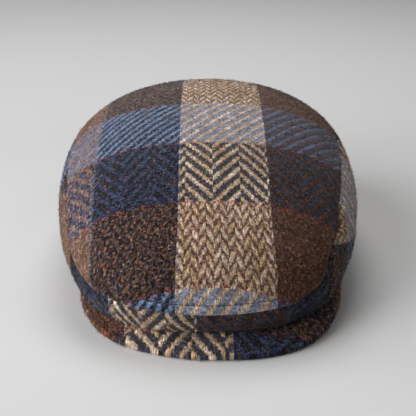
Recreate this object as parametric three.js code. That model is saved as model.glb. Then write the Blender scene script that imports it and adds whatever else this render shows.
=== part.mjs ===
// A flat cap of tweed cloth: a top panel, two side panels, a front band and a stiff peak.
// Millimetres, +Z up. The peak points to -Y, and the cap stands on Z = 0.
// Angles run round the crown from the front centre: 0 is the front, 90 the side, 180 the back,
// and the wearer's right, which is the viewer's left, has negative angles.

import * as THREE from 'three';

// Driving sizes
const CLOTH = 2.0;
const GAP = 0.3;
const CROWN_CENTRE_Y = 28;

// The roof of the crown: its highest level, and how far it has fallen 100 mm in front and behind
const CREST_HEIGHT = 104.5;
const CREST_Y = 83;
const FALL_IN_FRONT = 4.4;
const FALL_BEHIND = 19;
const FALL_DISTANCE = 100;

// The front band ends at these angles, the peak at both sides at one angle
const BAND_LEFT_END = -38;
const BAND_RIGHT_END = 28.7;
const PEAK_END = 60;
const PEAK_THICKNESS = 5;
const PEAK_BEDDING = 1.4;
const PEAK_BOW = 1.3;
const FOOT_EASE = 36;

// Crown sections round the head. reach and height place the widest line, foot is the reach of the
// lower edge, roundness is the exponent of the dome's curve, and the two seam columns say how much
// of the way out the top panel runs on each side.
const CROWN_SECTIONS = [
  { angle: 0, reach: 157.5, height: 25, roundness: 2.2, foot: 150, seamLeft: 1, seamRight: 1 },
  { angle: 15, reach: 155.5, height: 25.3, roundness: 2.2, foot: 150, seamLeft: 1, seamRight: 1 },
  { angle: 23, reach: 151.8, height: 26.2, roundness: 2.2, foot: 146.3, seamLeft: 1, seamRight: 0.9992 },
  { angle: 27, reach: 149.2, height: 26.9, roundness: 2.2, foot: 143.4, seamLeft: 1, seamRight: 0.9945 },
  { angle: 30, reach: 146.8, height: 27.5, roundness: 2.2, foot: 140.5, seamLeft: 0.9995, seamRight: 0.971 },
  { angle: 37, reach: 138.2, height: 30, roundness: 2.25, foot: 128.9, seamLeft: 0.9965, seamRight: 0.946 },
  { angle: 42, reach: 131.8, height: 32, roundness: 2.3, foot: 120.2, seamLeft: 0.98, seamRight: 0.914 },
  { angle: 58, reach: 114.9, height: 38, roundness: 2.4, foot: 99.5, seamLeft: 0.941, seamRight: 0.892 },
  { angle: 80, reach: 102.5, height: 42, roundness: 2.4, foot: 87, seamLeft: 0.937, seamRight: 0.892 },
  { angle: 110, reach: 100.5, height: 45, roundness: 2.4, foot: 85, seamLeft: 0.938, seamRight: 0.9 },
  { angle: 145, reach: 106, height: 45, roundness: 2.4, foot: 88.5, seamLeft: 0.932, seamRight: 0.915 },
  { angle: 180, reach: 109.5, height: 44, roundness: 2.4, foot: 92, seamLeft: 0.925, seamRight: 0.925 },
];

// Peak sections. The two lip columns are the reach of the front edge on each side, lift is the height
// of the front edge's underside, root the reach of the edge at the head opening, and rise how far the
// root stands above the lip.
const PEAK_SECTIONS = [
  { angle: 0, lipLeft: 165.5, lipRight: 165.5, lift: 0, root: 104, rise: 17.5 },
  { angle: 11, lipLeft: 162.6, lipRight: 166.6, lift: 0, root: 103.5, rise: 17.5 },
  { angle: 19, lipLeft: 159.2, lipRight: 163.8, lift: 0.7, root: 102.5, rise: 16.5 },
  { angle: 25, lipLeft: 153.8, lipRight: 158, lift: 2, root: 101.5, rise: 14.5 },
  { angle: 32, lipLeft: 142.8, lipRight: 146.7, lift: 4.2, root: 100, rise: 11 },
  { angle: 40, lipLeft: 127, lipRight: 130, lift: 6.4, root: 97.5, rise: 7 },
  { angle: 50, lipLeft: 111.5, lipRight: 113.3, lift: 7.8, root: 94, rise: 3.5 },
  { angle: 60, lipLeft: 100.5, lipRight: 100.5, lift: 8.4, root: 91, rise: 1.5 },
  { angle: 180, lipLeft: 96, lipRight: 96, lift: 8.5, root: 88, rise: 1 },
];

// Facets: steps along the crown's sections, round the crown, and along the peak
const TOP_STEPS = 15;
const ROUND_STEP = 4.5;
const SIDE_STEPS = 9;
const BAND_STEPS = 7;
const PEAK_STEPS = 8;
const NOSE_ANGLES = [60, 20, -20, -60];

const radians = THREE.MathUtils.degToRad;

// A smooth curve through one column of a table, level at both ends
function along(table, column, angle) {
  const at = Math.abs(angle);
  const last = table.length - 1;
  let i = 0;
  while (i < last - 1 && at > table[i + 1].angle) {
    i += 1;
  }
  const slope = (k) => {
    if (k === 0 || k === last) {
      return 0;
    }
    return (table[k + 1][column] - table[k - 1][column]) / (table[k + 1].angle - table[k - 1].angle);
  };
  const span = table[i + 1].angle - table[i].angle;
  const t = (at - table[i].angle) / span;
  const startWeight = (1 + 2 * t) * (1 - t) ** 2;
  const endWeight = t * t * (3 - 2 * t);
  const startPull = t * (1 - t) ** 2 * span * slope(i);
  const endPull = t * t * (t - 1) * span * slope(i + 1);
  return startWeight * table[i][column] + endWeight * table[i + 1][column] + startPull + endPull;
}

// A point at a distance from the crown's upright axis, in the direction of an angle
function polar(angle, reach, height) {
  const x = reach * Math.sin(radians(angle));
  const y = CROWN_CENTRE_Y - reach * Math.cos(radians(angle));
  return new THREE.Vector3(x, y, height);
}

function roofHeight(y) {
  const fall = y < CREST_Y ? FALL_IN_FRONT : FALL_BEHIND;
  return CREST_HEIGHT - fall * ((y - CREST_Y) / FALL_DISTANCE) ** 2;
}

function peakLip(angle) {
  return along(PEAK_SECTIONS, angle < 0 ? 'lipLeft' : 'lipRight', angle);
}

// The upper face of the peak, also used past its ends to set the feet of the panels
function peakTop(angle, reach) {
  const lip = peakLip(angle);
  const root = along(PEAK_SECTIONS, 'root', angle);
  const share = THREE.MathUtils.clamp((lip - reach) / (lip - root), 0, 1);
  const climb = along(PEAK_SECTIONS, 'rise', angle) * (1 - (1 - share) ** PEAK_BOW);
  return along(PEAK_SECTIONS, 'lift', angle) + PEAK_THICKNESS - PEAK_BEDDING + climb;
}

// The lower edge of the crown stands on the peak in front and on the floor elsewhere
function footHeight(angle, reach) {
  const past = (Math.abs(angle) - PEAK_END - 2) / FOOT_EASE;
  const onPeak = 1 - THREE.MathUtils.smoothstep(past, 0, 1);
  return onPeak * (peakTop(angle, reach) + GAP);
}

// The crown's outer face. way runs from 0 at the middle of the roof to 1 on the widest line,
// and on to 2 at the foot.
function crownPoint(angle, way) {
  const reach = along(CROWN_SECTIONS, 'reach', angle);
  const height = along(CROWN_SECTIONS, 'height', angle);
  if (way <= 1) {
    const power = 2 / along(CROWN_SECTIONS, 'roundness', angle);
    const out = Math.sin(way * Math.PI / 2) ** power;
    const up = Math.max(0, Math.cos(way * Math.PI / 2)) ** power;
    const point = polar(angle, reach * out, height);
    point.z += (roofHeight(point.y) - height) * up;
    return point;
  }
  const down = way - 1;
  const foot = along(CROWN_SECTIONS, 'foot', angle);
  const drop = height - footHeight(angle, foot);
  return polar(angle, reach - (reach - foot) * down * down, height - drop * down);
}

// The direction out of the cloth
function crownNormal(angle, way) {
  const low = Math.max(way - 0.01, 0.02);
  const high = Math.min(Math.max(way, 0.02) + 0.01, 2);
  const alongWay = crownPoint(angle, high).sub(crownPoint(angle, low));
  const round = crownPoint(angle + 0.5, (low + high) / 2).sub(crownPoint(angle - 0.5, (low + high) / 2));
  return alongWay.cross(round).normalize();
}

// The inner face lies one cloth thickness in, and the foot is cut level with what it stands on
function crownInner(angle, way) {
  const normal = crownNormal(angle, way);
  const point = crownPoint(angle, way);
  if (way < 2) {
    return point.addScaledVector(normal, -CLOTH);
  }
  const reach = along(CROWN_SECTIONS, 'foot', angle) - CLOTH / Math.hypot(normal.x, normal.y);
  return polar(angle, reach, footHeight(angle, reach));
}

// How much of way makes half a gap of cloth at a place
function halfGap(angle, way) {
  const step = 0.002;
  const length = crownPoint(angle, way + step).distanceTo(crownPoint(angle, way - step));
  return GAP / 2 * (2 * step) / length;
}

// The seam round the top panel, as a way along each section
function seamWay(angle) {
  const column = angle < 0 ? 'seamLeft' : 'seamRight';
  const out = Math.min(1, along(CROWN_SECTIONS, column, angle));
  const power = 2 / along(CROWN_SECTIONS, 'roundness', angle);
  return Math.asin(Math.min(1, out ** (1 / power))) / (Math.PI / 2);
}

function range(count) {
  return Array.from({ length: count + 1 }, (_, i) => i / count);
}

function lerp(a, b, t) {
  return a + (b - a) * t;
}

// The half gap at the ends of a strip, as an angle
function endGap(angle) {
  return THREE.MathUtils.radToDeg(GAP / 2 / along(CROWN_SECTIONS, 'foot', angle));
}

// Where the strips of the crown begin and end
const STRIPS = {
  sideLeft: [-180 + endGap(180), BAND_LEFT_END - endGap(BAND_LEFT_END)],
  band: [BAND_LEFT_END + endGap(BAND_LEFT_END), BAND_RIGHT_END - endGap(BAND_RIGHT_END)],
  sideRight: [BAND_RIGHT_END + endGap(BAND_RIGHT_END), 180 - endGap(180)],
};

// All pieces share one set of angles, so that their facets stay side by side
function anglesBetween(start, end) {
  const even = range(360 / ROUND_STEP).map((t) => lerp(-180, 180, t));
  const ends = Object.values(STRIPS).flat();
  const inside = [...even, ...ends].filter((angle) => angle > start && angle < end);
  return [start, ...inside.sort((a, b) => a - b), end];
}

// A closed solid through rings of points, each ring a closed outline with the same count of points
function ringSolid(rings) {
  const size = rings[0].length;
  const points = rings.flat();
  const faces = [];
  for (let i = 0; i + 1 < rings.length; i += 1) {
    for (let j = 0; j < size; j += 1) {
      const a = i * size + j;
      const b = i * size + (j + 1) % size;
      faces.push([a, b, b + size], [a, b + size, a + size]);
    }
  }
  // Each end is closed by a ladder across the outline, from its first and last points inwards
  const lastRing = (rings.length - 1) * size;
  for (let low = 0, high = size - 1; high - low >= 2; low += 1, high -= 1) {
    faces.push([low, high, low + 1], [lastRing + low, lastRing + low + 1, lastRing + high]);
    if (high - 1 > low + 1) {
      faces.push([low + 1, high, high - 1], [lastRing + low + 1, lastRing + high - 1, lastRing + high]);
    }
  }
  return meshGeometry(points, faces);
}

function meshGeometry(points, faces) {
  const geometry = new THREE.BufferGeometry();
  geometry.setAttribute('position', new THREE.Float32BufferAttribute(points.flatMap((p) => p.toArray()), 3));
  geometry.setIndex(faces.flat());
  geometry.computeVertexNormals();
  return geometry;
}

// One strip of the crown between two angles, from the top seam down to the foot
function crownStrip([start, end], steps) {
  const rings = anglesBetween(start, end).map((angle) => {
    const top = seamWay(angle) + halfGap(angle, seamWay(angle));
    const ways = range(steps).map((t) => lerp(top, 2, t));
    const outer = ways.map((way) => crownPoint(angle, way));
    const inner = ways.map((way) => crownInner(angle, way)).reverse();
    return [...outer, ...inner];
  });
  return ringSolid(rings);
}

// Top panel: a lid from the middle of the roof out to the seam
function topPanel() {
  const angles = anglesBetween(-180, 180).slice(0, -1);
  const points = [];
  const faces = [];
  const count = angles.length;
  const layer = 1 + TOP_STEPS * count;
  const addFace = (side) => {
    const place = side === 0 ? crownPoint : crownInner;
    const middle = angles.map((angle) => place(angle, 0)).reduce((sum, p) => sum.add(p)).divideScalar(count);
    points.push(middle);
    for (let k = 1; k <= TOP_STEPS; k += 1) {
      angles.forEach((angle) => {
        const edge = seamWay(angle) - halfGap(angle, seamWay(angle) - 0.01);
        points.push(place(angle, edge * k / TOP_STEPS));
      });
    }
  };
  addFace(0);
  addFace(1);
  const at = (side, k, j) => side * layer + 1 + (k - 1) * count + (j % count);
  for (let j = 0; j < count; j += 1) {
    faces.push([0, at(0, 1, j), at(0, 1, j + 1)]);
    faces.push([layer, at(1, 1, j + 1), at(1, 1, j)]);
    for (let k = 1; k < TOP_STEPS; k += 1) {
      faces.push([at(0, k, j), at(0, k + 1, j), at(0, k + 1, j + 1)]);
      faces.push([at(0, k, j), at(0, k + 1, j + 1), at(0, k, j + 1)]);
      faces.push([at(1, k, j), at(1, k + 1, j + 1), at(1, k + 1, j)]);
      faces.push([at(1, k, j), at(1, k, j + 1), at(1, k + 1, j + 1)]);
    }
    faces.push([at(0, TOP_STEPS, j), at(1, TOP_STEPS, j), at(1, TOP_STEPS, j + 1)]);
    faces.push([at(0, TOP_STEPS, j), at(1, TOP_STEPS, j + 1), at(0, TOP_STEPS, j + 1)]);
  }
  return meshGeometry(points, faces);
}

// Peak: a crescent slab with a rounded front edge, bedded flat where it meets the floor
function peakRing(angle) {
  const lip = peakLip(angle);
  const root = along(PEAK_SECTIONS, 'root', angle);
  const noseRadius = PEAK_THICKNESS / 2;
  const noseReach = lip - noseRadius;
  const reaches = range(PEAK_STEPS).map((t) => lerp(root, noseReach, t));
  const upper = reaches.map((reach) => polar(angle, reach, peakTop(angle, reach)));
  const noseHeight = peakTop(angle, noseReach) - noseRadius;
  const nose = NOSE_ANGLES.map((turn) => {
    const out = noseReach + noseRadius * Math.cos(radians(turn));
    return polar(angle, out, Math.max(0, noseHeight + noseRadius * Math.sin(radians(turn))));
  });
  const lower = reaches.map((reach) => {
    return polar(angle, reach, Math.max(0, peakTop(angle, reach) - PEAK_THICKNESS));
  });
  return [...upper, ...nose, ...lower.reverse()];
}

function peak() {
  return ringSolid(anglesBetween(-PEAK_END, PEAK_END).map(peakRing));
}

// Wool, with each piece in the colour that most of it shows
function wool(colour) {
  return new THREE.MeshStandardMaterial({ color: colour, roughness: 0.95, metalness: 0 });
}

const PIECES = [
  { name: 'top_panel', geometry: topPanel(), colour: 0x6b5546 },
  { name: 'side_panel_left', geometry: crownStrip(STRIPS.sideLeft, SIDE_STEPS), colour: 0x7d6857 },
  { name: 'side_panel_right', geometry: crownStrip(STRIPS.sideRight, SIDE_STEPS), colour: 0x5b4535 },
  { name: 'front_band', geometry: crownStrip(STRIPS.band, BAND_STEPS), colour: 0x333a4c },
  { name: 'peak', geometry: peak(), colour: 0x3a3c48 },
];

const cap = new THREE.Group();
cap.name = 'flat_cap';
for (const piece of PIECES) {
  const mesh = new THREE.Mesh(piece.geometry, wool(piece.colour));
  mesh.name = piece.name;
  cap.add(mesh);
}

export default cap;
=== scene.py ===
# %% [markdown]
# # A flat cap in block-check tweed
# The cap is five sewn pieces: a top panel, two side panels, a front band and a stiff peak.
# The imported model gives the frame. Each piece is rebuilt here as a fine sheet of cloth whose
# surface carries the ribs of the weave, and one tweed finish colours all of them.

# %% Load the frame
import math

import bpy
import numpy as np
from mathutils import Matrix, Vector


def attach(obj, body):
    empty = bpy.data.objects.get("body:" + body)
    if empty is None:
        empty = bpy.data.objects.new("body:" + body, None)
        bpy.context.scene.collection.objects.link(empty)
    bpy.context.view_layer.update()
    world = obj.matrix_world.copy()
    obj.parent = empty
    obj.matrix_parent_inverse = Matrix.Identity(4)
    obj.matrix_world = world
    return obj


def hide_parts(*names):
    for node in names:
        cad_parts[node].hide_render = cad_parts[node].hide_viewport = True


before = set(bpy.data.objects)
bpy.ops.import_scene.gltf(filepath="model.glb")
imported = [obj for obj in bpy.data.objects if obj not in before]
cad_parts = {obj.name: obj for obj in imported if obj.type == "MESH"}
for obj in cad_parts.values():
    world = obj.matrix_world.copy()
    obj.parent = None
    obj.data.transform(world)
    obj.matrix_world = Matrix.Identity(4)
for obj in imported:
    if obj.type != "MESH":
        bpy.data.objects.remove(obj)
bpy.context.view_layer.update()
scene = bpy.context.scene
MM = 0.001
rng = np.random.default_rng(7)

# %% [markdown]
# ## The form of the crown
# A cap's crown could be sculpted, or draped by a cloth simulation, but a sewn and pressed cap
# keeps one calm form. So the crown is a formula: sections round the head, as a cap maker would
# draw them, joined by smooth curves. Angle 0 is the front centre and 180 the back. Sizes are in
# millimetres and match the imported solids.

# %% Section tables
CROWN_CENTRE_Y = 28.0
CREST_HEIGHT, CREST_Y = 104.5, 83.0
FALL_IN_FRONT, FALL_BEHIND, FALL_DISTANCE = 4.4, 19.0, 100.0
CLOTH, GAP = 2.0, 0.3
BAND_LEFT_END, BAND_RIGHT_END, PEAK_END = -38.0, 28.7, 60.0
PEAK_THICKNESS, PEAK_BEDDING, PEAK_BOW = 5.0, 1.4, 1.3
FOOT_EASE_START, FOOT_EASE = PEAK_END + 2.0, 36.0

CROWN = {
    "angle": [0, 15, 23, 27, 30, 37, 42, 58, 80, 110, 145, 180],
    "reach": [157.5, 155.5, 151.8, 149.2, 146.8, 138.2, 131.8, 114.9, 102.5, 100.5, 106, 109.5],
    "height": [25, 25.3, 26.2, 26.9, 27.5, 30, 32, 38, 42, 45, 45, 44],
    "roundness": [2.2, 2.2, 2.2, 2.2, 2.2, 2.25, 2.3, 2.4, 2.4, 2.4, 2.4, 2.4],
    "foot": [150, 150, 146.3, 143.4, 140.5, 128.9, 120.2, 99.5, 87, 85, 88.5, 92],
    "seam_left": [1, 1, 1, 1, 0.9995, 0.9965, 0.98, 0.941, 0.937, 0.938, 0.932, 0.925],
    "seam_right": [1, 1, 0.9992, 0.9945, 0.971, 0.946, 0.914, 0.892, 0.892, 0.9, 0.915, 0.925],
}
PEAK = {
    "angle": [0, 11, 19, 25, 32, 40, 50, 60, 180],
    "lip_left": [165.5, 162.6, 159.2, 153.8, 142.8, 127, 111.5, 100.5, 96],
    "lip_right": [165.5, 166.6, 163.8, 158, 146.7, 130, 113.3, 100.5, 96],
    "lift": [0, 0, 0.7, 2, 4.2, 6.4, 7.8, 8.4, 8.5],
    "root": [104, 103.5, 102.5, 101.5, 100, 97.5, 94, 91, 88],
    "rise": [17.5, 17.5, 16.5, 14.5, 11, 7, 3.5, 1.5, 1],
}
print("sections:", len(CROWN["angle"]), "crown,", len(PEAK["angle"]), "peak")

# %% Smooth curves through the tables
def along(table, column, angle):
    """A smooth curve through one column of a table, level at both ends."""
    knots = np.array(table["angle"], float)
    values = np.array(table[column], float)
    at = np.abs(np.asarray(angle, float))
    i = np.clip(np.searchsorted(knots, at) - 1, 0, len(knots) - 2)
    slopes = np.zeros_like(values)
    slopes[1:-1] = (values[2:] - values[:-2]) / (knots[2:] - knots[:-2])
    span = knots[i + 1] - knots[i]
    t = (at - knots[i]) / span
    ends = (1 + 2 * t) * (1 - t) ** 2 * values[i] + t * t * (3 - 2 * t) * values[i + 1]
    pulls = t * (1 - t) ** 2 * slopes[i] + t * t * (t - 1) * slopes[i + 1]
    return ends + span * pulls


def smoothstep(low, high, value):
    t = np.clip((value - low) / (high - low), 0, 1)
    return t * t * (3 - 2 * t)


def polar(angle, reach, height):
    """A point at a distance from the crown's upright axis, in the direction of an angle."""
    turn = np.radians(angle)
    return np.stack([reach * np.sin(turn), CROWN_CENTRE_Y - reach * np.cos(turn), height], -1)


# %% The crown's and the peak's surfaces
WAY_STEP, POLE_WAY, ANGLE_STEP = 0.01, 0.02, 0.5


def roof_height(y):
    fall = np.where(y < CREST_Y, FALL_IN_FRONT, FALL_BEHIND)
    return CREST_HEIGHT - fall * ((y - CREST_Y) / FALL_DISTANCE) ** 2


def peak_lip(angle):
    """The reach of the peak's front edge, which differs a little between the two sides."""
    left, right = along(PEAK, "lip_left", angle), along(PEAK, "lip_right", angle)
    return np.where(np.asarray(angle) < 0, left, right)


def peak_top(angle, reach):
    lip, root = peak_lip(angle), along(PEAK, "root", angle)
    share = np.clip((lip - reach) / (lip - root), 0, 1)
    climb = along(PEAK, "rise", angle) * (1 - (1 - share) ** PEAK_BOW)
    return along(PEAK, "lift", angle) + PEAK_THICKNESS - PEAK_BEDDING + climb


def foot_height(angle, reach):
    """The crown's lower edge stands on the peak in front and on the floor elsewhere."""
    past = (np.abs(angle) - FOOT_EASE_START) / FOOT_EASE
    return (1 - smoothstep(0, 1, past)) * (peak_top(angle, reach) + GAP)


def crown_point(angle, way):
    """way runs from 0 at the middle of the roof to 1 on the widest line and 2 at the foot."""
    angle, way = np.broadcast_arrays(np.asarray(angle, float), np.asarray(way, float))
    reach, height = along(CROWN, "reach", angle), along(CROWN, "height", angle)
    power = 2 / along(CROWN, "roundness", angle)
    turn = np.clip(way, 0, 1) * math.pi / 2
    dome = polar(angle, reach * np.sin(turn) ** power, height)
    dome[..., 2] += (roof_height(dome[..., 1]) - height) * np.maximum(0, np.cos(turn)) ** power
    down = np.clip(way - 1, 0, None)
    foot = along(CROWN, "foot", angle)
    drop = height - foot_height(angle, foot)
    skirt = polar(angle, reach - (reach - foot) * down ** 2, height - drop * down)
    return np.where((way <= 1)[..., None], dome, skirt)


def crown_normal(angle, way):
    low = np.maximum(way - WAY_STEP, POLE_WAY)
    high = np.minimum(np.maximum(way, POLE_WAY) + WAY_STEP, 2)
    down = crown_point(angle, high) - crown_point(angle, low)
    middle = (low + high) / 2
    across = crown_point(angle + ANGLE_STEP, middle) - crown_point(angle - ANGLE_STEP, middle)
    normal = np.cross(down, across)
    return normal / np.linalg.norm(normal, axis=-1, keepdims=True)


def seam_way(angle):
    """Where the seam round the top panel crosses each section."""
    left, right = along(CROWN, "seam_left", angle), along(CROWN, "seam_right", angle)
    out = np.minimum(1, np.where(angle < 0, left, right))
    power = along(CROWN, "roundness", angle) / 2
    return np.arcsin(np.minimum(1, out ** power)) / (math.pi / 2)


def crown_height_at(x, y):
    """The height of the dome over a place on the floor."""
    angle = np.degrees(np.arctan2(x, CROWN_CENTRE_Y - y))
    share = np.minimum(1, np.hypot(x, y - CROWN_CENTRE_Y) / along(CROWN, "reach", angle))
    height, n = along(CROWN, "height", angle), along(CROWN, "roundness", angle)
    return height + (roof_height(y) - height) * (1 - share ** n) ** (1 / n)


print("front edge of the top panel at", np.round(crown_point(0.0, 1.0), 1))

# %% [markdown]
# ## The cloth
# The tweed is a block check: black, tan, brown and fawn stripes run from the back to the front,
# and navy, brown and light blue stripes cross them. Where they cross, the twill lines change: plain
# diagonals in the light blue, herringbone in the navy, and a small zigzag in the brown. Each
# point of each piece is given its place on the flat cloth, u across and v towards the front, in
# millimetres. The same rule for the ribs then shapes the mesh here and colours the yarn later.

# %% The check and its ribs
CHECK_WIDTH, CHECK_START = 54.5, -72.5
ROW_LENGTH = 53.5
STRIPES = ("black", "tan", "brown", "black", "fawn")
BROWN_WEFT, LIGHT_BLUE = 1, 2
YARN = 2.05
TWILL_ACROSS, TWILL_ALONG = 8.2, 10.0
FINE_TWILL_ACROSS, FINE_TWILL_ALONG = 7.2, 8.0
STRIPE_WIDTH, STRIPE_INSET = 16.4, 4.1
ARM_WIDTH, ARM_ACROSS, ARM_ALONG = 4.1, 5.3, 8.5
ARM_TAPER, ARM_TAPER_POWER = 0.9, 4.0
YARN_SLANT = 0.45
RIB_HEIGHT, RIB_LEVEL, WARP_RISE = 0.34, 0.5, 0.3


def rib_wave(u, v):
    """1 on the middle of a rib of warp, -1 on the middle of a rib of weft."""
    column = np.floor((u - CHECK_START) / CHECK_WIDTH)
    inside = u - CHECK_START - column * CHECK_WIDTH
    warp, weft = column % len(STRIPES), np.floor(v / ROW_LENGTH) % 3
    fine = np.array([name == "black" for name in STRIPES])[warp.astype(int)] & (weft == LIGHT_BLUE)
    across = np.where(fine, FINE_TWILL_ACROSS, TWILL_ACROSS)
    length = np.where(fine, FINE_TWILL_ALONG, TWILL_ALONG)
    middle = (np.floor(inside / YARN) + 0.5) * YARN
    stepped = middle + YARN_SLANT * (inside - middle)
    stripe = np.floor((inside - STRIPE_INSET) / STRIPE_WIDTH)
    rising = stripe % 2
    from_edge = stepped - STRIPE_INSET - stripe * STRIPE_WIDTH
    herringbone = (2 * rising - 1) * from_edge / across + rising / 2
    arm = np.floor(inside / ARM_WIDTH)
    from_middle = inside - (arm + 0.5) * ARM_WIDTH
    leaning = arm % 2
    chevron = (2 * leaning - 1) * from_middle / ARM_ACROSS + leaning / 2
    phase = np.choose(weft.astype(int), [herringbone, chevron, stepped / across])
    phase = phase + v / np.where(weft == BROWN_WEFT, ARM_ALONG, length)
    taper = ARM_TAPER * np.abs(2 * from_middle / ARM_WIDTH) ** ARM_TAPER_POWER
    return np.cos(2 * math.pi * phase) - np.where(weft == BROWN_WEFT, taper, 0)


def rib_relief(u, v):
    """Rounded ribs with grooves between them, the warp standing higher."""
    wave = rib_wave(u, v)
    return RIB_HEIGHT * (np.sqrt(np.abs(wave)) - RIB_LEVEL + WARP_RISE * wave)


print("one block is", CHECK_WIDTH, "by", ROW_LENGTH, "mm")

# %% [markdown]
# ## Sheets of cloth as meshes
# A panel of cloth is a grid of points with an inner face one cloth thickness behind it. Numpy
# arrays fill the mesh in one call, much faster than face by face. Each mesh keeps its place on
# the cloth in an attribute, and a map for baking in which every face has a place of its own: the
# outer face has most of the map, and a long strip is folded into bands.

# %% Mesh helper
CLOTH_PLACE = "cloth"
BAKE_MAP = "OFBake"
BAND_SHARE = 0.98
OUTER_PATCH = ((0, 0), (0.7, 0.97))
INNER_PATCH = ((0.71, 0), (1, 0.97))
RIM_PATCH = ((0, 0.98), (1, 0.995))


def grid_faces(start, rows, columns):
    first = start + np.arange(rows - 1)[:, None] * columns + np.arange(columns - 1)[None]
    return np.stack([first, first + 1, first + columns + 1, first + columns], -1).reshape(-1, 4)


def rim_faces(rows, columns):
    """Strips that join the outer grid's border to the inner grid's, all the way round."""
    top = np.arange(columns)
    right = np.arange(rows) * columns + columns - 1
    bottom = (rows - 1) * columns + np.arange(columns)[::-1]
    left = (np.arange(rows) * columns)[::-1]
    border = np.concatenate([top[:-1], right[:-1], bottom[:-1], left[:-1]])
    after = np.roll(border, -1)
    behind = rows * columns
    return np.stack([after, border, border + behind, after + behind], -1)


def patch(rows, columns, low, high, bands=1):
    """The corners of a grid's faces on the bake map, between two corners of the map."""
    down, over = np.meshgrid(np.arange(rows - 1), np.arange(columns - 1), indexing="ij")
    per_band = math.ceil((columns - 1) / bands)
    band = over // per_band
    corners = []
    for step_down, step_over in ((0, 0), (0, 1), (1, 1), (1, 0)):
        u = (over - band * per_band + step_over) / per_band
        v = (band + BAND_SHARE * (down + step_down) / (rows - 1)) / bands
        corners.append(np.stack([u, v], -1).reshape(-1, 2))
    return np.array(low) + np.stack(corners, 1) * (np.array(high) - np.array(low))


def ribbon_patch(count, low, high):
    """The same for a row of faces whose corners go back along the row, down and forward."""
    start, end = np.arange(count), np.arange(1, count + 1)
    u = np.stack([end, start, start, end], 1) / count
    v = np.tile([0.0, 0.0, 1.0, 1.0], (count, 1))
    return np.array(low) + np.stack([u, v], -1) * (np.array(high) - np.array(low))


def fill_mesh(name, points, faces, place, baked):
    """A piece from points, faces, places on the cloth and corners on the bake map."""
    mesh = bpy.data.meshes.new(name)
    mesh.vertices.add(len(points))
    mesh.vertices.foreach_set("co", (points * MM).astype(np.float32).ravel())
    mesh.loops.add(faces.size)
    mesh.loops.foreach_set("vertex_index", faces.astype(np.int32).ravel())
    mesh.polygons.add(len(faces))
    starts = np.arange(0, faces.size, faces.shape[1], dtype=np.int32)
    mesh.polygons.foreach_set("loop_start", starts)
    mesh.update(calc_edges=True)
    cloth = mesh.attributes.new(CLOTH_PLACE, "FLOAT_VECTOR", "POINT")
    flat = np.concatenate([place, np.zeros((len(place), 1))], 1)
    cloth.data.foreach_set("vector", flat.astype(np.float32).ravel())
    layer = mesh.uv_layers.new(name=BAKE_MAP)
    layer.uv.foreach_set("vector", baked.astype(np.float32).ravel())
    mesh.validate()
    mesh.shade_smooth()
    piece = bpy.data.objects.new(name, mesh)
    scene.collection.objects.link(piece)
    print(name, len(mesh.vertices), "points,", len(mesh.polygons), "faces")
    return piece


def cloth_sheet(name, outer, inner, place, bands=1, flip=False):
    """A closed sheet between two grids of points, its faces turned round by flip."""
    rows, columns = outer.shape[:2]
    rim = rim_faces(rows, columns)
    quads = np.concatenate([
        grid_faces(0, rows, columns),
        grid_faces(rows * columns, rows, columns)[:, ::-1],
        rim,
    ])
    baked = np.concatenate([
        patch(rows, columns, *OUTER_PATCH, bands),
        patch(rows, columns, *INNER_PATCH, bands)[:, ::-1],
        ribbon_patch(len(rim), *RIM_PATCH),
    ])
    if flip:
        quads, baked = quads[:, ::-1], baked[:, ::-1]
    points = np.concatenate([outer.reshape(-1, 3), inner.reshape(-1, 3)])
    places = np.tile(place.reshape(-1, 2), (2, 1))
    return fill_mesh(name, points, quads, places, baked)


# %% [markdown]
# ## Edges of the panels
# A sewn edge isn't a knife edge. Close to a seam the cloth dips into the stitches, and just
# beside it the turned allowance underneath lifts it a little, with small puckers along the seam.
# One function gives that rise and fall from the distance to the edge.

# %% Seam shaping
SEAM_DIP, SEAM_DIP_WIDTH = 0.5, 2.4
ALLOWANCE_RISE, ALLOWANCE_CREST, ALLOWANCE_WIDTH = 0.4, 3.5, 8.0
PUCKER_HEIGHT, PUCKER_LENGTH = 0.16, 11.0
PUCKER_WANDER, WANDER_LENGTH = 1.7, 17.0
SEAM_CLEARANCE, RIB_FADE = 0.0012, 1.5


def edge_dip(distance):
    """How far the cloth turns down at its edge."""
    return SEAM_DIP * np.clip(1 - distance / SEAM_DIP_WIDTH, 0, 1) ** 2


def seam_profile(distance, run):
    """How far the cloth rises at a distance from a seam, and at a run along it."""
    dip = -edge_dip(distance)
    beside = smoothstep(0, ALLOWANCE_CREST, distance)
    beside *= 1 - smoothstep(ALLOWANCE_CREST, ALLOWANCE_WIDTH, distance)
    wander = PUCKER_WANDER * np.sin(run / WANDER_LENGTH)
    puckers = np.sin(2 * math.pi * run / PUCKER_LENGTH + wander)
    return dip + beside * (ALLOWANCE_RISE + PUCKER_HEIGHT * puckers)


def distance_between(a, b):
    return np.linalg.norm(a - b, axis=-1)


# %% [markdown]
# ## Top panel
# The largest piece, from the back of the crown to the stitched edge over the front. A polar grid
# would crowd its points in the middle, so a square grid is rounded into a disc, and the disc is
# laid over the dome. The front edge is turned under and stitched, so it is thicker there and has
# a groove under the thread.

# %% Place of the dome on the cloth
ROW_START_Y = -36.0
ARC_OVER_CHORD = 1.03
FRONT_EASE_START, FRONT_EASE_END = -90.0, -128.0
FRONT_SPREAD = 0.06


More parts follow.
